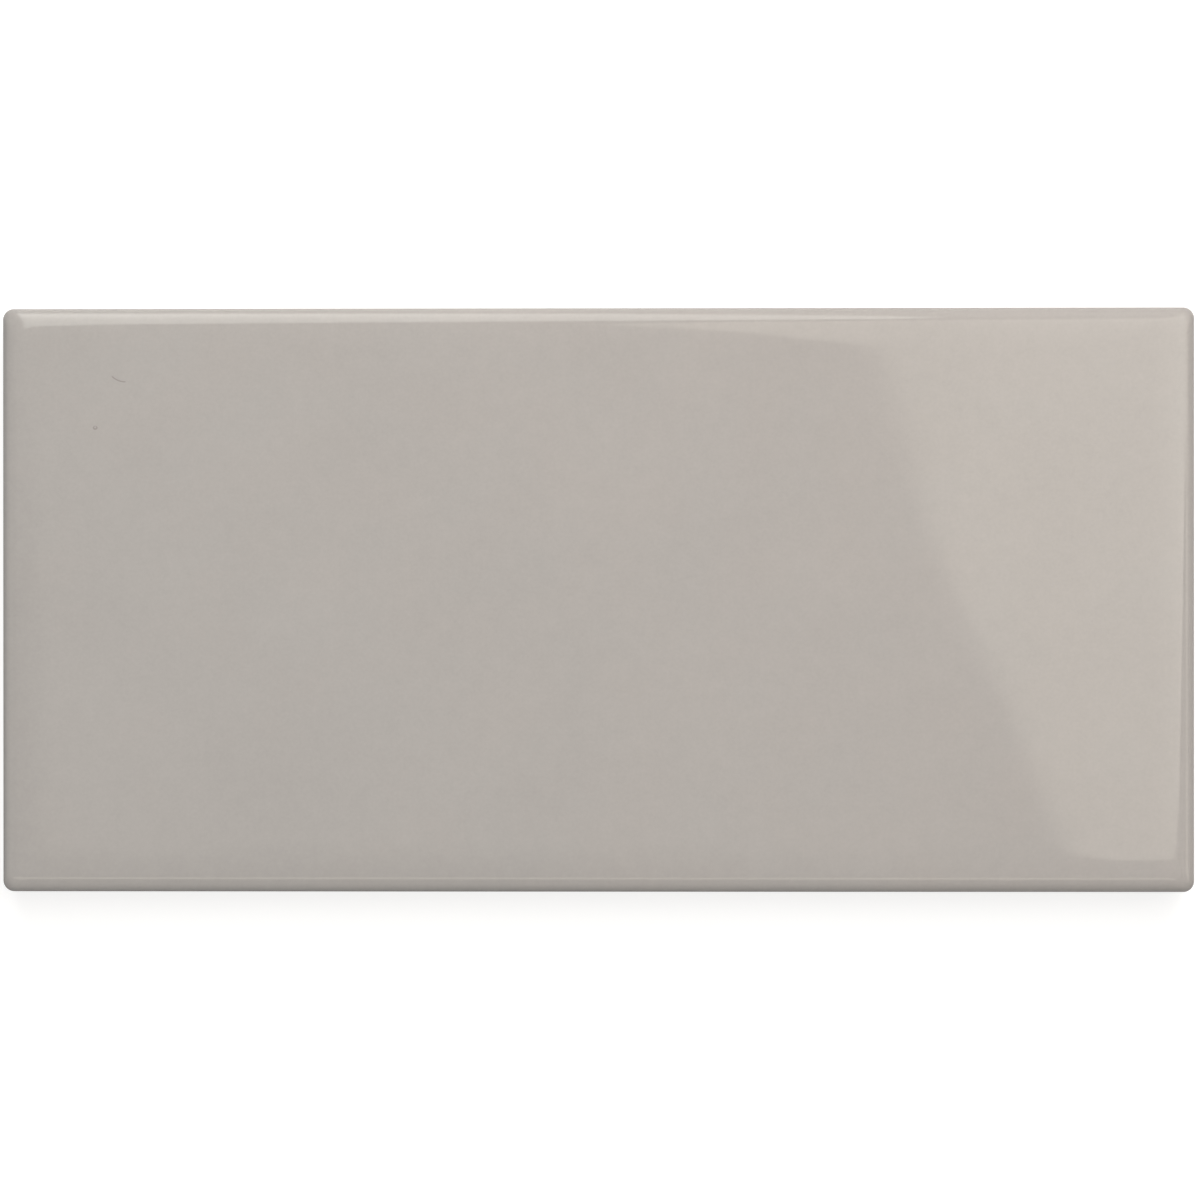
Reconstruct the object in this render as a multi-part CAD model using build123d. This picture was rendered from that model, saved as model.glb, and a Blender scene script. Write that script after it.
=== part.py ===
from build123d import *
import math
import os

# A dry-pressed and glazed wall tile, lying on its back with its glazed face up.
# Lengths are millimetres and angles degrees. Z points up, X runs along the long
# side, and the origin is the middle of the plane that the back rests on.

# The body: its outline at the widest, and the walls below the rolled edge
length = 149.0
width = 73.0
thickness = 8.0
corner_radius = 1.4
side_draft = 1.5
back_bevel = 0.5

# The glazed face: a rolled edge, and inside it a faint fall from the flat middle
roll_width = 2.0
roll_drop = 1.0
fall_width = 5.0
fall_drop = 0.2

# The back: a plain band round a lattice of flat ribs, with drafted pockets between
# them that key the adhesive. The pitch is the one aimed at, and the lattice is
# spaced so that it fills the band exactly.
band_width = 9.1
key_pitch = 9.5
key_rib = 2.2
key_depth = 0.6
key_draft = 35.0

# How finely the curved section of the face is followed
roll_steps = 6
fall_steps = 4


def face_drop(inset):
    """How far the face lies below its flat middle, at a distance in from the rim.

    The rolled edge is a quarter ellipse and the faint fall is a parabola.
    """
    roll = max(0.0, 1 - inset / roll_width)
    fall = max(0.0, 1 - inset / fall_width)
    return roll_drop * (1 - math.sqrt(1 - roll**2)) + fall_drop * fall**2


def face_outline(inset):
    """The contour of the face that lies a distance in from the rim all round."""
    contour = RectangleRounded(length - 2 * inset, width - 2 * inset, corner_radius)
    return Pos(0, 0, thickness - face_drop(inset)) * contour


def make_walls():
    """The side walls, leaning in towards the back, with a bevel round the back."""
    rim = face_outline(0)
    walls = extrude(rim, rim.center().Z, dir=(0, 0, -1), taper=side_draft)
    back = walls.faces().sort_by(Axis.Z)[0]
    return chamfer(back.edges(), back_bevel)


def make_roll():
    """The rolled edge, lofted through contours at even turns of its quarter ellipse."""
    turns = [math.radians(90 * step / roll_steps) for step in range(roll_steps + 1)]
    return loft([face_outline(roll_width * (1 - math.cos(turn))) for turn in turns])


def make_fall():
    """The faint fall, lofted through evenly spaced contours up to the flat middle."""
    spacing = (fall_width - roll_width) / fall_steps
    return loft([face_outline(roll_width + spacing * step) for step in range(fall_steps + 1)])


def fit_lattice(side):
    """The number of pockets along a side and their spacing, with a rib at the middle."""
    field = side - 2 * band_width + key_rib
    count = 2 * max(1, round(field / key_pitch / 2))
    return count, field / count


def make_keys():
    """The pockets, each a shallow pyramid with its top cut off, in a grid."""
    columns, x_spacing = fit_lattice(length)
    rows, y_spacing = fit_lattice(width)
    mouth = Rectangle(x_spacing - key_rib, y_spacing - key_rib)
    pocket = extrude(mouth, key_depth, taper=key_draft)
    return [place * pocket for place in GridLocations(x_spacing, y_spacing, columns, rows)]


def make_tile():
    """The whole tile, pressed and fired as one piece."""
    body = make_walls() + make_roll() + make_fall()
    return body - make_keys()


os.makedirs("parts", exist_ok=True)
tile = make_tile()
export_step(tile, "parts/tile.step")
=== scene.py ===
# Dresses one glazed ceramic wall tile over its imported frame, and sets the stage that it
# is pictured on. Lengths are metres. The tile lies on its back with its glazed face up,
# Z points up, X runs along the long side, and the origin is the middle of its back.
import math

import bpy
import numpy as np
from bpy.props import FloatProperty, FloatVectorProperty, IntProperty, PointerProperty
from mathutils import Euler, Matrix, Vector


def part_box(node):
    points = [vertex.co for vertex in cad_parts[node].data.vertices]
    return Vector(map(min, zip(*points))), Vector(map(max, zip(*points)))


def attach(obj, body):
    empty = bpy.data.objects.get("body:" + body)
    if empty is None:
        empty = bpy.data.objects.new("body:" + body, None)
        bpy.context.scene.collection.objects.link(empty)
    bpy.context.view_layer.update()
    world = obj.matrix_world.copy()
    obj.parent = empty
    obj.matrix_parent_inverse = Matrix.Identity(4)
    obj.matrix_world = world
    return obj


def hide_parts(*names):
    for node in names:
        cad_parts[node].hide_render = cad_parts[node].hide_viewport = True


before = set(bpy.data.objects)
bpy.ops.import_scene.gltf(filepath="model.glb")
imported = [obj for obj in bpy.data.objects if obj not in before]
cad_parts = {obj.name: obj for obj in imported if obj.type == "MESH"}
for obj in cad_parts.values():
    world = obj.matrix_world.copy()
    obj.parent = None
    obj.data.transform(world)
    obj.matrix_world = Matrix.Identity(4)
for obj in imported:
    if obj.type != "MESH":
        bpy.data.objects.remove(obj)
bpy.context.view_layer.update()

bl_info = {
    "name": "Glazed Wall Tile",
    "version": (1, 0, 0),
    "blender": (4, 5, 0),
    "location": "3D View > Sidebar > Wall Tile",
    "description": "Builds a glazed ceramic wall tile and the stage that it is pictured on",
    "category": "Add Mesh",
}

MM = 0.001
MICRON = 0.000001
CAD_NODE = "tile"
tile_low, tile_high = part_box(CAD_NODE)


def length_property(name, default, description):
    """A size in metres, shown with the scene's unit of length."""
    return FloatProperty(
        name=name, description=description, default=default, min=0.0, unit="LENGTH", precision=5
    )


def number_property(name, default, description):
    """A plain number that isn't negative."""
    return FloatProperty(name=name, description=description, default=default, min=0.0, precision=4)


def angle_property(name, degrees, description):
    """An angle that is given in degrees and kept in radians."""
    return FloatProperty(
        name=name, description=description, default=math.radians(degrees), subtype="ANGLE"
    )


def colour_property(name, default, description):
    """A linear red, green and blue."""
    return FloatVectorProperty(
        name=name, description=description, default=default, size=3, min=0.0, max=1.0, subtype="COLOR"
    )


class WallTileSizes(bpy.types.PropertyGroup):
    """Sizes of the tile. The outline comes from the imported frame."""

    length: length_property("Length", tile_high.x - tile_low.x, "Long side at its widest")
    width: length_property("Width", tile_high.y - tile_low.y, "Short side at its widest")
    thickness: length_property("Thickness", tile_high.z - tile_low.z, "Back to the flat of the face")
    corner_radius: length_property("Corner Radius", 1.4 * MM, "Radius of the corners seen from above")
    roll_width: length_property("Roll Width", 2.0 * MM, "How far in the rolled edge reaches")
    roll_drop: length_property("Roll Drop", 1.0 * MM, "How far the rolled edge drops to the rim")
    fall_width: length_property("Fall Width", 5.0 * MM, "How far in the faint fall reaches")
    fall_drop: length_property("Fall Drop", 0.2 * MM, "How far the faint fall drops by the rim")
    side_draft: angle_property("Side Draft", 1.5, "Lean of the walls in towards the back")
    back_bevel: length_property("Back Bevel", 0.5 * MM, "Bevel round the back")
    band_width: length_property("Band Width", 9.1 * MM, "Plain band round the lattice of the back")
    key_pitch: length_property("Key Pitch", 9.5 * MM, "Spacing aimed at for the pockets of the back")
    key_rib: length_property("Key Rib", 2.2 * MM, "Width of the flat ribs between the pockets")
    key_depth: length_property("Key Depth", 0.6 * MM, "Depth of the pockets")
    key_draft: angle_property("Key Draft", 35.0, "Lean of the walls of the pockets")


class WallTileFinish(bpy.types.PropertyGroup):
    """Colours and surface of the glaze and of the bare fired clay."""

    glaze_colour: colour_property("Glaze", (0.437, 0.407, 0.389), "Warm grey glaze")
    # Painted warmth: a tint that makes the glaze warmer towards the upper right, where the warm light falls
    painted_warmth: number_property("Tone Drift", 0.010, "How much warmer one end was fired than the other")
    biscuit_colour: colour_property("Biscuit", (0.640, 0.560, 0.455), "Bare fired clay")
    glaze_roughness: number_property("Glaze Roughness", 0.042, "Roughness of the glossy glaze")
    biscuit_roughness: number_property("Biscuit Roughness", 0.86, "Roughness of the bare clay")
    glaze_reach: length_property("Glaze Reach", 1.9 * MM, "How far the glaze runs down the sides")
    glaze_run: length_property("Glaze Run", 0.35 * MM, "How unevenly the glaze ends on the sides")
    glaze_coat: length_property("Glaze Coat", 0.09 * MM, "How far the glaze stands off the clay")
    face_waves: length_property("Face Waves", 10 * MICRON, "Height of the slow waves in the glaze")
    wave_seed: IntProperty(name="Wave Seed", description="Draws another set of waves", default=145189)


class WallTileStage(bpy.types.PropertyGroup):
    """The floor, the soft lamps and the white that is seen round them."""

    floor_colour: colour_property("Floor", (0.40, 0.40, 0.40), "Pale floor")
    floor_glow: number_property("Floor Glow", 0.77, "What lifts the floor to white where it is seen")
    fill_level: number_property("Fill", 0.25, "Even light from all round")
    side_level: number_property("Side Softbox", 2.4, "Brightness of the softbox up on the right")
    side_colour: colour_property("Side Colour", (1.0, 0.96, 0.88), "Colour of the softbox on the right")
    back_level: number_property("Back Softbox", 4.9, "Brightness of the softbox beyond the tile")
    back_colour: colour_property("Back Colour", (1.0, 1.0, 0.95), "Colour of the softbox beyond the tile")
    strip_level: number_property("Strips", 2.6, "Brightness of the narrow strips on the right and in front")
    strip_colour: colour_property("Strip Colour", (1.0, 0.94, 0.84), "Colour of the narrow strips")
    rear_level: number_property("Rear Lamp", 1.33, "Power of the lamp beyond the tile, in watts")
    low_level: number_property("Low Lamp", 0.24, "Power of the small lamp low beyond the tile, in watts")
    front_level: number_property("Front Lamp", 0.45, "Power of the faint low lamp in front, in watts")
    under_level: number_property("Under Lamp", 6.0, "Power of the lamp that lights the back, in watts")


class WallTileSettings(bpy.types.PropertyGroup):
    """Everything that can be changed about the tile and its stage."""

    sizes: PointerProperty(type=WallTileSizes)
    finish: PointerProperty(type=WallTileFinish)
    stage: PointerProperty(type=WallTileStage)


# Shape of the tile

# How many grid lines follow each part of the section
ROLL_LINES = 15
FALL_LINES = 9
BAND_LINES = 5
KEY_WALL_LINES = 5

# A pocket's walls round off over this share of their run, and its floor has a line at
# this share of the way out from its middle
KEY_ROUNDING = 0.2
KEY_FLOOR_LINE = 0.45
KEY_CORNER_POWER = 4

# The pressing left the floors of the pockets uneven
PRESSING_DEPTH = 12 * MICRON
PRESSING_SEED = 11

# Rings round the sides: as shares of the glazed stretch, at depths below the glaze's
# edge, as shares of the bare stretch, and as shares of the bevel
GLAZED_RINGS = (0.06, 0.16, 0.3, 0.5, 0.7, 0.88, 1.0)
STEP_RINGS = (0.08 * MM, 0.16 * MM, 0.26 * MM, 0.4 * MM)
BARE_RINGS = (0.25, 0.5, 0.75, 1.0)
BEVEL_RINGS = (1.2, 1.0, 0.8, 0.5, 0.2, 0.06, 0.0)
BEVEL_REACH = 1.5
BEVEL_ROUNDING = 0.12 * MM

# The glaze's lower edge: how high its step is, and how thick and tall the bead on it is
STEP_HEIGHT = 0.35 * MM
BEAD_THICKNESS = 0.02 * MM
BEAD_SPREAD = 0.22 * MM
FEWEST_RUNS = 3
MOST_RUNS = 60


def face_drop(sizes, inset):
    """How far the face lies below its flat middle, at distances in from the rim.

    The rolled edge is a quarter ellipse, drop times one less the root of one less the
    square of the share of its width that is left. The faint fall is a parabola.
    """
    roll = np.clip(1 - inset / sizes.roll_width, 0, 1)
    fall = np.clip(1 - inset / sizes.fall_width, 0, 1)
    return sizes.roll_drop * (1 - np.sqrt(1 - roll**2)) + sizes.fall_drop * fall**2


def fit_lattice(sizes, side):
    """The number of pockets along a side and their spacing, with a rib at the middle."""
    field = side - 2 * sizes.band_width + sizes.key_rib
    count = 2 * max(1, round(field / sizes.key_pitch / 2))
    return count, field / count


def key_ramp(sizes):
    """Where a pocket's wall starts and ends, measured in from the edge of its mouth."""
    run = sizes.key_depth * math.tan(sizes.key_draft)
    rounding = KEY_ROUNDING * run
    return -rounding, run + rounding


def grid_lines(sizes, side):
    """Where the lines of the grid cross one axis, from rim to rim.

    They lie at even turns of the rolled edge, then evenly over the fall and the band,
    and then on both walls, the floor and the middle of the rib of every pocket.
    """
    roll_turns = np.linspace(0, math.pi / 2, ROLL_LINES)
    roll = sizes.roll_width * (1 - np.cos(roll_turns))
    fall = np.linspace(sizes.roll_width, sizes.fall_width, FALL_LINES)[1:]
    band = np.linspace(sizes.fall_width, sizes.band_width, BAND_LINES)[1:-1]
    rim = np.concatenate([roll, fall, band])
    count, spacing = fit_lattice(sizes, side)
    mouth = spacing - sizes.key_rib
    wall = np.linspace(*key_ramp(sizes), KEY_WALL_LINES)
    near = mouth / 2 - wall
    floor = np.array([KEY_FLOOR_LINE, 0.0]) * mouth / 2
    pocket = np.concatenate([-near, -floor, floor[:1], near[::-1]])
    centres = (np.arange(count) - (count - 1) / 2) * spacing
    ribs = centres[:-1] + spacing / 2
    middle = np.concatenate([(centres[:, None] + pocket).ravel(), ribs])
    lines = np.concatenate([rim - side / 2, np.sort(middle), (side / 2 - rim)[::-1]])
    return lines, centres, mouth


def plan(sizes, x_lines, y_lines):
    """Plan positions of the grid, the way out of each one's contour, and its distance in.

    A contour lies a distance d in from the rim all round, d being the smaller of the
    distances to the two nearest sides. Where those distances differ by less than the
    radius, the point goes on to the corner's arc, at 45 degrees times one less the share
    of the radius by which they differ. Past the fall the radius fades to next to nothing.
    """
    half_x, half_y = sizes.length / 2, sizes.width / 2
    u, v = np.meshgrid(x_lines, y_lines, indexing="ij")
    from_end = half_x - np.abs(u)
    from_side = half_y - np.abs(v)
    inset = np.minimum(from_end, from_side)
    fade = (sizes.band_width - inset) / (sizes.band_width - sizes.fall_width)
    next_to_nothing = 1e-6
    radius = sizes.corner_radius * np.clip(fade, next_to_nothing, 1)
    apart = np.abs(from_end - from_side)
    turn = math.pi / 4 * (1 - np.minimum(apart / radius, 1))
    angle = np.where(from_end <= from_side, turn, math.pi / 2 - turn)
    in_corner = apart < radius
    arc_x = half_x - inset - radius + radius * np.cos(angle)
    arc_y = half_y - inset - radius + radius * np.sin(angle)
    x = np.sign(u) * np.where(in_corner, arc_x, half_x - from_end)
    y = np.sign(v) * np.where(in_corner, arc_y, half_y - from_side)
    out_x = np.sign(u) * np.cos(angle)
    out_y = np.sign(v) * np.sin(angle)
    return x, y, out_x, out_y, inset


def smooth_step(start, end, values):
    """Nothing before start and one after end, with three t squared less two t cubed between."""
    t = np.clip((values - start) / (end - start), 0, 1)
    return t * t * (3 - 2 * t)


def plane_waves(x, y, shortest, longest, count, seed):
    """A sum of plane waves in seeded headings, each as high as it is long, between -1 and 1.

    Each wave is its length times the sine of its phase and the distance along its
    heading, and the sum is divided by the sum of the lengths.
    """
    draw = np.random.default_rng(seed)
    lengths = draw.uniform(shortest, longest, (count, 1, 1))
    headings = draw.uniform(0, 2 * math.pi, (count, 1, 1))
    phases = draw.uniform(0, 2 * math.pi, (count, 1, 1))
    along = x * np.cos(headings) + y * np.sin(headings)
    waves = lengths * np.sin(2 * math.pi * along / lengths + phases)
    return waves.sum(axis=0) / lengths.sum()


def face_height(sizes, finish, x, y, inset):
    """Height of the glazed face: the thickness less the drop, and less slow faint waves."""
    waves = plane_waves(x, y, shortest=20 * MM, longest=70 * MM, count=5, seed=finish.wave_seed)
    return sizes.thickness - face_drop(sizes, inset) + finish.face_waves * (waves - 1)


def back_height(sizes, x, y, x_centres, y_centres, x_mouth, y_mouth):
    """Height of the back over the plane that it rests on: nothing on the ribs and the band.

    Across a wall of a pocket, each axis has a smooth step of the distance in from the
    edge of the mouth. Together they give one less the fourth root of the sum of the
    fourth powers of what each lacks, which rounds the corners, times the depth. The
    floors and walls are uneven by a sum of short plane waves.
    """
    lacks = []
    for position, centres, mouth in ((x, x_centres, x_mouth), (y, y_centres, y_mouth)):
        offset = np.abs(position[..., None] - centres).min(axis=-1)
        lacks.append(1 - smooth_step(*key_ramp(sizes), mouth / 2 - offset))
    both = lacks[0] ** KEY_CORNER_POWER + lacks[1] ** KEY_CORNER_POWER
    depth = 1 - np.clip(both ** (1 / KEY_CORNER_POWER), 0, 1)
    pressing = plane_waves(x, y, shortest=2 * MM, longest=6 * MM, count=9, seed=PRESSING_SEED)
    return sizes.key_depth * depth + PRESSING_DEPTH * (1 + pressing) * (depth > 0)


def wall_section(sizes, finish, rim_height, edge_height):
    """Heights and distances in for the rings between the rim and the back, at each station.

    The glazed stretch runs from the rim to the glaze's uneven lower edge, where the
    surface steps in by the coat, and the bare stretch from there to the back. A bead
    stands out there by a bell curve of the height over the edge. The wall leans in by
    the tangent of the draft, and the bevel adds half the sum of its height above the
    ring and the root of that height squared plus its rounding squared.
    """
    stations = np.ones_like(edge_height)
    glazed = rim_height - np.outer(GLAZED_RINGS, rim_height - edge_height)
    step = edge_height - np.outer(STEP_RINGS, stations)
    bevel_top = BEVEL_REACH * sizes.back_bevel
    bare = step[-1] + np.outer(BARE_RINGS, bevel_top - step[-1])
    bevel = np.outer(sizes.back_bevel * np.array(BEVEL_RINGS), stations)
    heights = np.concatenate([glazed, step, bare, bevel])
    lean = math.tan(sizes.side_draft) * (rim_height - heights)
    coat = finish.glaze_coat * smooth_step(0, STEP_HEIGHT, edge_height - heights)
    bead = BEAD_THICKNESS * np.exp(-(((heights - edge_height) / BEAD_SPREAD) ** 2))
    over = sizes.back_bevel - heights
    cut = (over + np.sqrt(over**2 + BEVEL_ROUNDING**2)) / 2
    cut = np.where(heights < bevel_top, cut, 0)
    return heights, lean + coat - bead + cut


def ring_of(grid):
    """The border of a grid, once round from its first corner, anticlockwise from above."""
    return np.concatenate([grid[:-1, 0], grid[-1, :-1], grid[:0:-1, -1], grid[0, :0:-1]])


def quads_of(grid):
    """Four-sided faces over a grid of vertex numbers, facing up, or out on rings from the top."""
    corners = (grid[:-1, :-1], grid[1:, :-1], grid[1:, 1:], grid[:-1, 1:])
    return np.stack([c.ravel() for c in corners], axis=1)


def glaze_edge(sizes, finish, x, y, rim_height):
    """Height of the glaze's lower edge round the sides: its reach below the rim, with runs.

    The runs are sines of the turn round the tile with seeded phases, each less high by
    the root of how many times it goes up and down, and the highest is one run.
    """
    around = np.arctan2(y / sizes.width, x / sizes.length)
    draw = np.random.default_rng(finish.wave_seed)
    turns = np.arange(FEWEST_RUNS, MOST_RUNS)[:, None]
    phases = draw.uniform(0, 2 * math.pi, turns.shape)
    runs = (np.sin(turns * around + phases) / turns**0.5).sum(axis=0)
    runs /= np.abs(runs).max()
    return rim_height - finish.glaze_reach + finish.glaze_run * runs


def tile_surface(sizes, finish):
    """Vertices, faces, distance in from the rim and margin of glaze for the whole tile.

    The face is a height over the grid, the sides are a section carried along the rim,
    and the back is a height over the same grid, drawn in to meet the foot of the sides.
    Below the rim the distance counts down the sides, and the margin is the height over
    the glaze's edge. On the back both are well below nothing.
    """
    x_lines, x_centres, x_mouth = grid_lines(sizes, sizes.length)
    y_lines, y_centres, y_mouth = grid_lines(sizes, sizes.width)
    x, y, out_x, out_y, inset = plan(sizes, x_lines, y_lines)
    face_z = face_height(sizes, finish, x, y, inset)
    face = np.stack([x, y, face_z], axis=-1)

    rim_x, rim_y, rim_z = ring_of(x), ring_of(y), ring_of(face_z)
    edge = glaze_edge(sizes, finish, rim_x, rim_y, rim_z)
    heights, drawn_in = wall_section(sizes, finish, rim_z, edge)
    sides_x = rim_x - drawn_in * ring_of(out_x)
    sides_y = rim_y - drawn_in * ring_of(out_y)
    sides = np.stack([sides_x, sides_y, heights], axis=-1)

    foot = drawn_in[-1].mean() * np.clip(1 - inset / sizes.band_width, 0, 1)
    back_x, back_y = x - foot * out_x, y - foot * out_y
    back_z = back_height(sizes, back_x, back_y, x_centres, y_centres, x_mouth, y_mouth)
    back = np.stack([back_x, back_y, back_z], axis=-1)
    points = np.concatenate([part.reshape(-1, 3) for part in (face, sides[:-1], back)])

    face_grid = np.arange(x.size).reshape(x.shape)
    side_rings = x.size + np.arange(heights[:-1].size).reshape(heights.shape[0] - 1, -1)
    back_grid = side_rings[-1, -1] + 1 + face_grid
    rings = np.concatenate([[ring_of(face_grid)], side_rings, [ring_of(back_grid)]])
    around = np.concatenate([rings, rings[:, :1]], axis=1)
    quads = np.concatenate([quads_of(face_grid), quads_of(around), quads_of(back_grid)[:, ::-1]])

    below_rim = (heights - rim_z)[:-1]
    below_edge = (heights - edge)[:-1]
    beneath = -rim_z.mean() - inset
    rim_distance = np.concatenate([part.ravel() for part in (inset, below_rim, beneath)])
    on_face = finish.glaze_reach + inset
    glaze_margin = np.concatenate([part.ravel() for part in (on_face, below_edge, beneath)])
    return points, quads, rim_distance, glaze_margin


# Nodes of the finish

# Most of a noise lies between these
NOISE_LOW = 0.3
NOISE_HIGH = 0.7


def add_node(tree, kind, inputs=None, **settings):
    """A new node, with its settings made and its inputs filled or linked."""
    node = tree.nodes.new(kind)
    for name, value in settings.items():
        setattr(node, name, value)
    for socket, value in (inputs or {}).items():
        if isinstance(value, bpy.types.NodeSocket):
            tree.links.new(value, node.inputs[socket])
        else:
            node.inputs[socket].default_value = value
    return node


def new_material(name):
    """A material with an empty node tree, and the tree."""
    material = bpy.data.materials.new(name)
    material.use_nodes = True
    material.node_tree.nodes.clear()
    return material, material.node_tree


def maths(tree, operation, *values):
    """A sum, a product or the like of numbers or of other nodes' outputs, in turn."""
    result = values[0]
    for value in values[1:]:
        inputs = {0: result, 1: value}
        result = add_node(tree, "ShaderNodeMath", inputs, operation=operation).outputs[0]
    return result


def remap(tree, value, start, end, low=0.0, high=1.0, smooth=False):
    """What lies between start and end, spread between low and high and held there."""
    inputs = {"Value": value, "From Min": start, "From Max": end, "To Min": low, "To Max": high}
    kind = "SMOOTHSTEP" if smooth else "LINEAR"
    return add_node(tree, "ShaderNodeMapRange", inputs, interpolation_type=kind).outputs[0]


def noise(tree, place, size, detail=2.0, roughness=0.5):
    """Cloudy noise whose largest features are about the given size across."""
    inputs = {"Vector": place, "Scale": 1 / size, "Detail": detail, "Roughness": roughness}
    return add_node(tree, "ShaderNodeTexNoise", inputs).outputs["Fac"]


def spread_noise(tree, place, size, low, high, detail=2.0, roughness=0.5):
    """Cloudy noise of the given size, spread from low to high."""
    cloudy = noise(tree, place, size, detail, roughness)
    return remap(tree, cloudy, NOISE_LOW, NOISE_HIGH, low, high)


def mix_colour(tree, share, first, second, blend="MIX"):
    """Two colours mixed, or one blended over the other."""
    inputs = {0: share, 6: first, 7: second}
    return add_node(tree, "ShaderNodeMix", inputs, data_type="RGBA", blend_type=blend).outputs[2]


def shaded(tree, colour, *shades):
    """A colour multiplied by one shade after another."""
    for shade in shades:
        colour = mix_colour(tree, 1.0, colour, shade, "MULTIPLY")
    return colour


def mix_number(tree, share, first, second):
    """Two numbers mixed."""
    inputs = {0: share, 2: first, 3: second}
    return add_node(tree, "ShaderNodeMix", inputs, data_type="FLOAT").outputs[0]


def scaled(colour, factor=1.0):
    """A colour made lighter or darker, with its alpha."""
    return tuple(factor * channel for channel in colour) + (1.0,)


def distance_from(tree, place, point):
    """How far each place lies from a point."""
    inputs = {0: place, 1: point}
    return add_node(tree, "ShaderNodeVectorMath", inputs, operation="DISTANCE").outputs["Value"]


def distance_along(tree, place, direction):
    """How far each place lies along a direction from the origin."""
    inputs = {0: place, 1: direction}
    return add_node(tree, "ShaderNodeVectorMath", inputs, operation="DOT_PRODUCT").outputs["Value"]


# Marks in the glaze, in millimetres on the face. Each is a part of a thin circle: its
# centre and radius, and how far it reaches either way of its middle.
HAIR = {"centre": (-59.0, 29.71), "radius": 2.41, "middle": (-59.9, 27.5), "reach": 1.0, "thickness": 0.11}
HOOK = {
    "centre": (-62.79, 21.62), "radius": 0.22, "middle": (-62.79, 21.47), "reach": 0.36, "thickness": 0.13
}
PINHOLE = {"centre": (73.7, 33.3), "radius": 0.0, "middle": (73.7, 33.3), "reach": 0.6, "thickness": 0.42}
RIDGE = {
    "centre": (53.0, -34.0), "radius": 19.95, "middle": (72.95, -34.0), "reach": 0.75, "thickness": 0.16
}

# What the marks do to the glaze: colour, how much of it, added roughness, and height
MARK_COLOUR = (0.10, 0.085, 0.07, 1.0)
MARK_SHARE = 0.45
PINHOLE_SHARE = 0.5
MARK_ROUGHNESS = 0.25
MARK_HEIGHT = 6 * MICRON
RIDGE_HEIGHT = 12 * MICRON
PINHOLE_DEPTH = 30 * MICRON


def arc_mark(tree, place, centre, radius, middle, reach, thickness):
    """One on a thin arc of a circle in the plane of the face, and nothing off it.

    The arc is the part of the circle round centre that lies within reach of middle.
    """
    def distance(point):
        on_face = (point[0] * MM, point[1] * MM, tile_high.z)
        return distance_from(tree, place, on_face)

    core = 0.3 * thickness * MM
    taper = 0.8 * reach * MM
    off_line = maths(tree, "SUBTRACT", distance(centre), radius * MM)
    off_line = add_node(tree, "ShaderNodeMath", {0: off_line}, operation="ABSOLUTE").outputs[0]
    line = remap(tree, off_line, core, thickness * MM, low=1.0, high=0.0)
    ends = remap(tree, distance(middle), taper, reach * MM, low=1.0, high=0.0)
    return maths(tree, "MULTIPLY", line, ends)


def glaze_tone(tree, place, finish):
    """Colour of the glaze: slow clouds, a mottle, a fine grain, and a painted tint that is warmer towards
    the upper right, where the warm light falls, made uneven by random patches.
    """
    colour_drift = finish.painted_warmth
    cool = (1 - colour_drift, 1.0, 1 + colour_drift / 2, 1.0)
    warm = (1 + colour_drift, 1.0, 1 - colour_drift / 2, 1.0)
    warmth = distance_along(tree, place, (0.8, 0.6, 0.0))
    warmth = remap(tree, warmth, start=-45 * MM, end=45 * MM)
    patches = spread_noise(tree, place, size=9 * MM, low=-0.2, high=0.2, detail=1)
    tint = mix_colour(tree, maths(tree, "ADD", warmth, patches), cool, warm)

    clouds = spread_noise(tree, place, size=14 * MM, low=0.985, high=1.012)
    mottle = spread_noise(tree, place, size=1.9 * MM, low=-0.020, high=0.020, detail=4, roughness=0.7)
    grain = spread_noise(tree, place, size=0.45 * MM, low=-0.020, high=0.020, detail=3, roughness=0.6)
    shade = maths(tree, "ADD", clouds, mottle, grain)
    return shaded(tree, scaled(finish.glaze_colour), tint, shade)


def painted_fall_shade(tree, place, rim_distance):
    """Painted shade in a band just inside the roll, along the near and left sides, where the least light
    falls.
    """
    near_side = distance_along(tree, place, (0.45, 0.9, 0.0))
    near_side = remap(tree, near_side, start=-30 * MM, end=0.0, low=1.0, high=0.0)
    rise = remap(tree, rim_distance, start=0.9 * MM, end=1.7 * MM, smooth=True)
    decline = remap(tree, rim_distance, start=1.9 * MM, end=7.0 * MM, low=1.0, high=0.0, smooth=True)
    fall_band = maths(tree, "MULTIPLY", rise, decline, near_side)
    return remap(tree, fall_band, start=0.0, end=1.0, low=1.0, high=0.945)


def painted_rim_shade(tree, place, rim_distance):
    """Painted shade at the rim, where the roll turns steeply from the light: deeper on the left, and least
    at the far rim on the left, which the light from beyond reaches.
    """
    usual = 0.88
    axes = add_node(tree, "ShaderNodeSeparateXYZ", {0: place}).outputs
    left = remap(tree, axes["X"], start=-74.0 * MM, end=-72.5 * MM, low=-0.09, high=0.0)
    far = remap(tree, axes["Y"], start=34.0 * MM, end=35.5 * MM)
    far_left = remap(tree, axes["X"], start=-5 * MM, end=30 * MM, low=0.11, high=0.0)
    far_left = maths(tree, "MULTIPLY", far, far_left)
    at_rim = maths(tree, "ADD", left, far_left, usual)
    return remap(tree, rim_distance, start=-0.3 * MM, end=1.0 * MM, low=at_rim, high=1.0, smooth=True)


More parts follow.
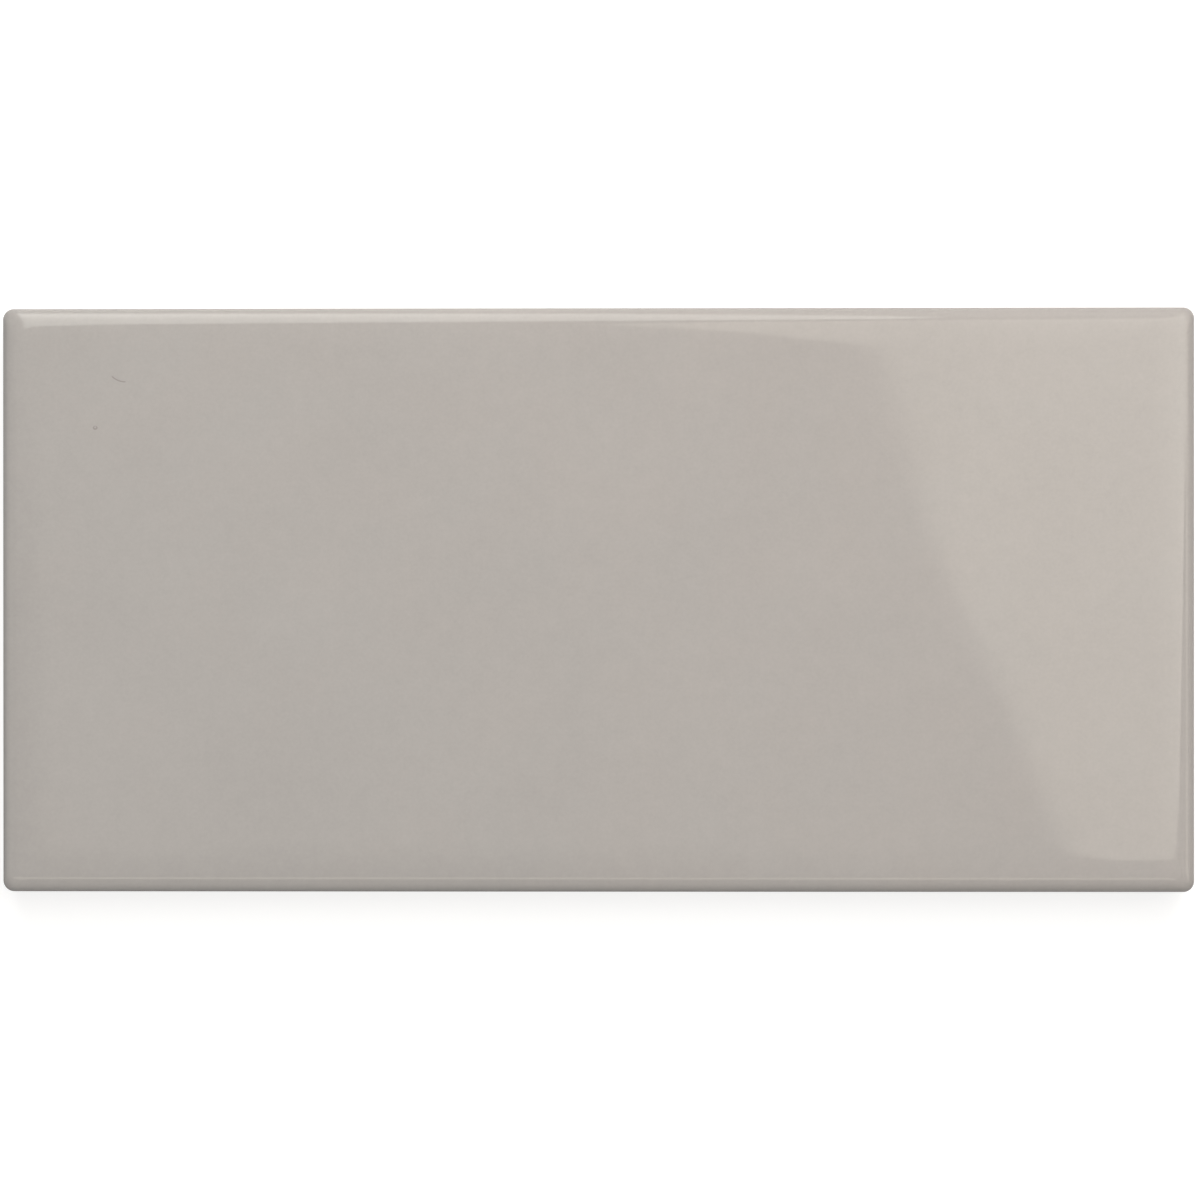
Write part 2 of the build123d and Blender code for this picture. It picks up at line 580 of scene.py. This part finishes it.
def clay_tone(tree, place, margin, sand, pits, finish):
    """Colour of the bare clay: blotches, sand, rubbed crests, dark pits, and a flash by the glaze."""
    blotches = noise(tree, place, size=6 * MM, detail=4, roughness=0.6)
    blotches = remap(tree, blotches, start=0.35, end=0.65)
    dark, light = scaled(finish.biscuit_colour, 0.90), scaled(finish.biscuit_colour, 1.05)
    clay = mix_colour(tree, blotches, dark, light)
    clay = shaded(tree, clay, remap(tree, sand, NOISE_LOW, NOISE_HIGH, low=0.86, high=1.12))

    rubbed_share = 0.35
    rubbed_colour = (0.78, 0.74, 0.67, 1.0)
    height = add_node(tree, "ShaderNodeSeparateXYZ", {0: place}).outputs["Z"]
    crest = remap(tree, height, start=0.02 * MM, end=0.16 * MM, low=1.0, high=0.0)
    scuffs = noise(tree, place, size=3 * MM, detail=5, roughness=0.7)
    scuffs = remap(tree, scuffs, start=0.45, end=0.62)
    clay = mix_colour(tree, maths(tree, "MULTIPLY", crest, scuffs, rubbed_share), clay, rubbed_colour)

    pit_share = 0.6
    pit_colour = scaled(finish.biscuit_colour, 0.4)
    clay = mix_colour(tree, maths(tree, "MULTIPLY", pits, pit_share), clay, pit_colour)

    flash = remap(tree, margin, start=-1.2 * MM, end=-0.05 * MM, low=0.0, high=0.35, smooth=True)
    return mix_colour(tree, flash, clay, scaled(finish.glaze_colour, 0.95))


def make_ceramic(finish):
    """Glossy warm-grey glaze over the face and down the sides, and bare clay below it."""
    material, tree = new_material("glazed_ceramic")
    place = add_node(tree, "ShaderNodeTexCoord").outputs["Object"]
    margin = add_node(tree, "ShaderNodeAttribute", attribute_name="glaze_margin").outputs["Fac"]
    rim_distance = add_node(tree, "ShaderNodeAttribute", attribute_name="rim_distance").outputs["Fac"]

    # The glaze, and the marks that dirt and bubbles left in it
    hair, hook, pinhole, ridge = (
        arc_mark(tree, place, **mark) for mark in (HAIR, HOOK, PINHOLE, RIDGE)
    )
    marks = maths(tree, "MAXIMUM", hair, hook, maths(tree, "MULTIPLY", pinhole, PINHOLE_SHARE))
    glaze = glaze_tone(tree, place, finish)
    # Painted shade: the glaze's colour is darkened in a band inside the roll on the near and left sides,
    # and at the rim, where less light falls
    glaze = shaded(tree, glaze, painted_fall_shade(tree, place, rim_distance), painted_rim_shade(tree, place, rim_distance))
    glaze = mix_colour(tree, maths(tree, "MULTIPLY", marks, MARK_SHARE), glaze, MARK_COLOUR)

    # The bare clay, with its sand and its pits
    sand = noise(tree, place, size=0.35 * MM, detail=4, roughness=0.7)
    cells = add_node(tree, "ShaderNodeTexVoronoi", {"Vector": place, "Scale": 1 / (1.3 * MM)})
    pits = remap(tree, cells.outputs["Distance"], start=0.05, end=0.12, low=1.0, high=0.0)
    clay = clay_tone(tree, place, margin, sand, pits, finish)

    # Where one ends and the other starts
    ragged = spread_noise(tree, place, size=0.7 * MM, low=-1.0, high=1.0, detail=3, roughness=0.6)
    ragged = maths(tree, "MULTIPLY", ragged, 0.12 * MM)
    coated = maths(tree, "ADD", margin, ragged)
    coated = remap(tree, coated, start=-0.06 * MM, end=0.05 * MM, smooth=True)
    bare = maths(tree, "SUBTRACT", 1.0, coated)
    colour = mix_colour(tree, coated, clay, glaze)
    smoothest, dullest = 0.92 * finish.glaze_roughness, 1.10 * finish.glaze_roughness
    gloss = spread_noise(tree, place, size=5 * MM, low=smoothest, high=dullest, detail=3)
    roughness = mix_number(tree, coated, finish.biscuit_roughness, gloss)
    roughness = maths(tree, "ADD", roughness, maths(tree, "MULTIPLY", marks, MARK_ROUGHNESS))

    # Relief too fine for the mesh: sand and pits in the clay, and faint peel and the
    # marks in the glaze
    sand_height = maths(tree, "MULTIPLY", sand, 0.03 * MM)
    pit_height = maths(tree, "MULTIPLY", pits, -0.05 * MM)
    grit = maths(tree, "ADD", sand_height, pit_height)
    peel = maths(tree, "MULTIPLY", noise(tree, place, size=1.8 * MM, detail=1), 0.6 * MICRON)
    marks_height = maths(tree, "MULTIPLY", marks, MARK_HEIGHT)
    ridge_height = maths(tree, "MULTIPLY", ridge, RIDGE_HEIGHT)
    pinhole_height = maths(tree, "MULTIPLY", pinhole, -PINHOLE_DEPTH)
    skin = maths(tree, "ADD", peel, marks_height, ridge_height, pinhole_height)
    relief = maths(
        tree, "ADD", maths(tree, "MULTIPLY", grit, bare), maths(tree, "MULTIPLY", skin, coated)
    )
    bump = add_node(tree, "ShaderNodeBump", {"Strength": 1.0, "Distance": 1.0, "Height": relief})

    surface = {"Base Color": colour, "Roughness": roughness, "IOR": 1.5, "Normal": bump.outputs["Normal"]}
    shader = add_node(tree, "ShaderNodeBsdfPrincipled", surface).outputs["BSDF"]
    add_node(tree, "ShaderNodeOutputMaterial", {"Surface": shader})
    return material


# The stage

# Corners of the softboxes, traced back from the edges of their reflections in the glaze
SIDE_SOFTBOX = (
    (0.174, -0.145, 1.250), (0.077, 0.107, 1.259), (0.040, 0.177, 1.294), (-0.008, 0.226, 1.390),
    (-0.030, 0.255, 1.425), (0.016, 0.321, 1.198), (0.108, 0.368, 0.847), (0.229, 0.437, 0.375),
    (0.385, 0.041, 0.350),
)
BACK_SOFTBOX = (
    (-0.350, 0.184, 1.549), (-0.252, 0.307, 1.570), (-0.130, 0.460, 1.598), (0.114, 0.806, 1.609),
    (0.136, 0.961, 1.472), (0.074, 1.125, 1.185), (-0.028, 1.240, 0.891), (-0.147, 1.197, 0.744),
    (-0.310, 1.093, 0.594),
)
RIGHT_STRIP = ((0.595, -0.35, 0.608), (0.595, 0.45, 0.608), (0.672, 0.45, 0.528), (0.672, -0.35, 0.528))
FRONT_STRIP = ((-0.60, -0.29, 1.0), (0.25, -0.29, 1.0), (0.25, -0.42, 1.0), (-0.60, -0.42, 1.0))

# Where each softbox is brightest, how far it takes to fall to its edge level, and how
# its edge and its middle compare with its level
SIDE_GLOW = {"middle": (0.27, 0.12, 0.62), "spread": 0.64, "at_middle": 1.5, "at_edge": 1.0}
BACK_GLOW = {"middle": (-0.30, 0.95, 0.8), "spread": 0.60, "at_middle": 1.0, "at_edge": 0.70}
EVEN_GLOW = {"middle": (0.0, 0.0, 0.0), "spread": 0.5, "at_middle": 1.0, "at_edge": 1.0}

# The lamps: where each stands, what it points at, and its side
REAR_LAMP = {"place": (0.17, 0.46, 0.35), "aim": (0.0, 0.0, 0.0), "size": 0.30}
LOW_LAMP = {"place": (-0.14, 0.46, 0.13), "aim": (-0.05, 0.036, 0.007), "size": 0.20}
FRONT_LAMP = {"place": (-0.40, -0.52, 0.12), "aim": (0.0, 0.0, 0.0), "size": 0.20}
UNDER_LAMP = {"place": (0.35, 0.30, -0.9), "aim": (0.0, 0.0, 0.0), "size": 0.35}

FLOOR_REACH = 6.0
FLOOR_GAP = 0.1 * MM

# The camera, worked out from the outline of the tile in the photograph
CAMERA_PLACE = (0.01108, 0.00147, 0.60717)
CAMERA_TURN = (-0.141, 1.026, -0.021)
CAMERA_SENSOR = 36.0
CAMERA_LENS = 144.0


def seen_ray(tree, mirrored_share=1.0):
    """One for the rays that see the background: from the camera, a gloss or a glass.

    What a gloss or a glass sees of it is multiplied by the share.
    """
    rays = add_node(tree, "ShaderNodeLightPath").outputs
    mirrored = maths(tree, "MAXIMUM", rays["Is Glossy Ray"], rays["Is Transmission Ray"])
    mirrored = maths(tree, "MULTIPLY", mirrored, mirrored_share)
    return maths(tree, "MAXIMUM", rays["Is Camera Ray"], mirrored)


def make_floor_paint(stage):
    """Pale floor that is lifted to white where it is seen, and clear from underneath.

    The lift grows with the distance from the tile, where less of the lamps' light falls,
    and the glaze sees less of it where the tile's own shadow lies.
    """
    material, tree = new_material("pale_floor")
    place = add_node(tree, "ShaderNodeTexCoord").outputs["Object"]
    matt = add_node(tree, "ShaderNodeBsdfDiffuse", {"Color": scaled(stage.floor_colour)}).outputs[0]
    from_tile = distance_from(tree, place, (0.0, 0.0, 0.0))
    glow = remap(tree, from_tile, start=0.15, end=0.9, low=stage.floor_glow, high=1.0)
    from_shadow = distance_from(tree, place, (-0.03, -0.05, 0.0))
    lit_share = remap(tree, from_shadow, start=0.04, end=0.12, low=0.25, high=1.0, smooth=True)
    glow = maths(tree, "MULTIPLY", seen_ray(tree, lit_share), glow)
    lift = add_node(tree, "ShaderNodeEmission", {"Strength": glow}).outputs[0]
    lit = add_node(tree, "ShaderNodeAddShader", {0: matt, 1: lift}).outputs[0]
    underneath = add_node(tree, "ShaderNodeNewGeometry").outputs["Backfacing"]
    clear = add_node(tree, "ShaderNodeBsdfTransparent").outputs[0]
    shown = add_node(tree, "ShaderNodeMixShader", {0: underneath, 1: lit, 2: clear}).outputs[0]
    add_node(tree, "ShaderNodeOutputMaterial", {"Surface": shown})
    return material


def add_panel(name, corners, material):
    """A flat panel with the given corners, marked as part of the stage."""
    mesh = bpy.data.meshes.new(name)
    mesh.from_pydata(list(corners), [], [tuple(range(len(corners)))])
    mesh.materials.append(material)
    panel = bpy.data.objects.new(name, mesh)
    bpy.context.scene.collection.objects.link(panel)
    return panel


def add_softbox(name, corners, colour, level, middle, spread, at_middle, at_edge):
    """A flat softbox with the given corners that glows on its side towards the tile.

    It is brightest at its middle and falls smoothly to its edge level over the spread.
    """
    material, tree = new_material(name + "_cloth")
    place = add_node(tree, "ShaderNodeTexCoord").outputs["Object"]
    away = distance_from(tree, place, middle)
    glow = remap(tree, away, 0.0, spread, at_middle * level, at_edge * level, smooth=True)
    behind = add_node(tree, "ShaderNodeNewGeometry").outputs["Backfacing"]
    strength = maths(tree, "MULTIPLY", glow, maths(tree, "SUBTRACT", 1.0, behind))
    inputs = {"Color": scaled(colour), "Strength": strength}
    cloth = add_node(tree, "ShaderNodeEmission", inputs).outputs[0]
    add_node(tree, "ShaderNodeOutputMaterial", {"Surface": cloth})
    facing = np.cross(corners, np.roll(corners, -1, axis=0)).sum(axis=0)
    if facing @ np.array(corners[0]) > 0:
        corners = corners[::-1]
    softbox = add_panel(name, corners, material)
    softbox.visible_camera = False
    return softbox


def add_lamp(name, watts, place, aim, size):
    """A square soft lamp that the camera doesn't see."""
    data = bpy.data.lights.new(name, "AREA")
    data.shape = "SQUARE"
    data.size = size
    data.energy = watts
    lamp = bpy.data.objects.new(name, data)
    lamp.location = place
    lamp.rotation_euler = (Vector(aim) - Vector(place)).to_track_quat("-Z", "Y").to_euler()
    lamp.visible_camera = False
    bpy.context.scene.collection.objects.link(lamp)
    return lamp


def set_floor(stage):
    """A level floor just under the tile, which casts no shadow on to the tile's back."""
    corners = [
        (-FLOOR_REACH, -FLOOR_REACH, -FLOOR_GAP),
        (FLOOR_REACH, -FLOOR_REACH, -FLOOR_GAP),
        (FLOOR_REACH, FLOOR_REACH, -FLOOR_GAP),
        (-FLOOR_REACH, FLOOR_REACH, -FLOOR_GAP),
    ]
    floor = add_panel("floor", corners, make_floor_paint(stage))
    floor.visible_shadow = False


def set_softboxes(stage):
    """Two softboxes that light the tile, and two strips that only its gloss mirrors."""
    add_softbox("side_softbox", SIDE_SOFTBOX, stage.side_colour, stage.side_level, **SIDE_GLOW)
    add_softbox("back_softbox", BACK_SOFTBOX, stage.back_colour, stage.back_level, **BACK_GLOW)
    for name, corners in (("right_strip", RIGHT_STRIP), ("front_strip", FRONT_STRIP)):
        strip = add_softbox(name, corners, stage.strip_colour, stage.strip_level, **EVEN_GLOW)
        strip.visible_diffuse = False


def set_lamps(stage):
    """Three lamps that light the tile unmirrored, and one under it for its back."""
    for name, watts, layout in (
        ("rear_lamp", stage.rear_level, REAR_LAMP),
        ("low_lamp", stage.low_level, LOW_LAMP),
        ("front_lamp", stage.front_level, FRONT_LAMP),
    ):
        lamp = add_lamp(name, watts, **layout)
        lamp.visible_glossy = False
    add_lamp("under_lamp", stage.under_level, **UNDER_LAMP)


def set_world(stage):
    """White where it is seen, and an even fill for the light that falls on the tile."""
    world = bpy.data.worlds.new("studio")
    world.use_nodes = True
    tree = world.node_tree
    tree.nodes.clear()
    strength = mix_number(tree, seen_ray(tree), stage.fill_level, 1.0)
    inputs = {"Color": (1.0, 1.0, 1.0, 1.0), "Strength": strength}
    background = add_node(tree, "ShaderNodeBackground", inputs).outputs[0]
    add_node(tree, "ShaderNodeOutputWorld", {"Surface": background})
    bpy.context.scene.world = world


def set_camera():
    """Straight down on the face, a little off the middle, as the photograph was taken."""
    data = bpy.data.cameras.new("camera")
    data.sensor_width = CAMERA_SENSOR
    data.lens = CAMERA_LENS
    camera = bpy.data.objects.new("camera", data)
    camera.location = CAMERA_PLACE
    camera.rotation_euler = Euler([math.radians(angle) for angle in CAMERA_TURN])
    bpy.context.scene.collection.objects.link(camera)
    bpy.context.scene.camera = camera


# Operators, panel and registration


class WALLTILE_OT_build_tile(bpy.types.Operator):
    """Build the glazed tile as one closed surface"""

    bl_idname = "wall_tile.build_tile"
    bl_label = "Build Tile"

    def execute(self, context):
        settings = context.scene.wall_tile
        points, quads, rim_distance, glaze_margin = tile_surface(settings.sizes, settings.finish)
        mesh = bpy.data.meshes.new("glazed_tile")
        mesh.from_pydata(points.tolist(), [], quads.tolist())
        for name, values in (("rim_distance", rim_distance), ("glaze_margin", glaze_margin)):
            attribute = mesh.attributes.new(name, "FLOAT", "POINT")
            attribute.data.foreach_set("value", values.astype(np.float32))
        mesh.shade_smooth()
        if mesh.validate():
            raise RuntimeError("the tile's surface has faulty faces")
        mesh.materials.append(make_ceramic(settings.finish))
        tile = bpy.data.objects.new("glazed_tile", mesh)
        context.scene.collection.objects.link(tile)
        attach(tile, "root")
        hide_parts(CAD_NODE)
        return {"FINISHED"}


class WALLTILE_OT_set_stage(bpy.types.Operator):
    """Set the floor, the soft lamps, the white surroundings and the camera"""

    bl_idname = "wall_tile.set_stage"
    bl_label = "Set Stage"

    def execute(self, context):
        stage = context.scene.wall_tile.stage
        context.scene.view_settings.view_transform = "Standard"
        set_world(stage)
        set_floor(stage)
        set_softboxes(stage)
        set_lamps(stage)
        set_camera()
        return {"FINISHED"}


class WALLTILE_PT_panel(bpy.types.Panel):
    """Lists the pieces and the stage, with what can be changed about them"""

    bl_idname = "WALLTILE_PT_panel"
    bl_label = "Wall Tile"
    bl_space_type = "VIEW_3D"
    bl_region_type = "UI"
    bl_category = "Wall Tile"

    def draw(self, context):
        settings = context.scene.wall_tile
        for group, operator in (
            (settings.sizes, None),
            (settings.finish, WALLTILE_OT_build_tile),
            (settings.stage, WALLTILE_OT_set_stage),
        ):
            box = self.layout.box()
            for name in type(group).__annotations__:
                box.prop(group, name)
            if operator:
                self.layout.operator(operator.bl_idname)


CLASSES = (
    WallTileSizes,
    WallTileFinish,
    WallTileStage,
    WallTileSettings,
    WALLTILE_OT_build_tile,
    WALLTILE_OT_set_stage,
    WALLTILE_PT_panel,
)


def register():
    """Adds the classes and the scene's settings."""
    for cls in CLASSES:
        bpy.utils.register_class(cls)
    bpy.types.Scene.wall_tile = PointerProperty(type=WallTileSettings)


def unregister():
    """Takes the settings and the classes away again."""
    del bpy.types.Scene.wall_tile
    for cls in reversed(CLASSES):
        bpy.utils.unregister_class(cls)


def main():
    register()
    bpy.ops.wall_tile.build_tile()
    bpy.ops.wall_tile.set_stage()


if __name__ == "__main__":
    main()
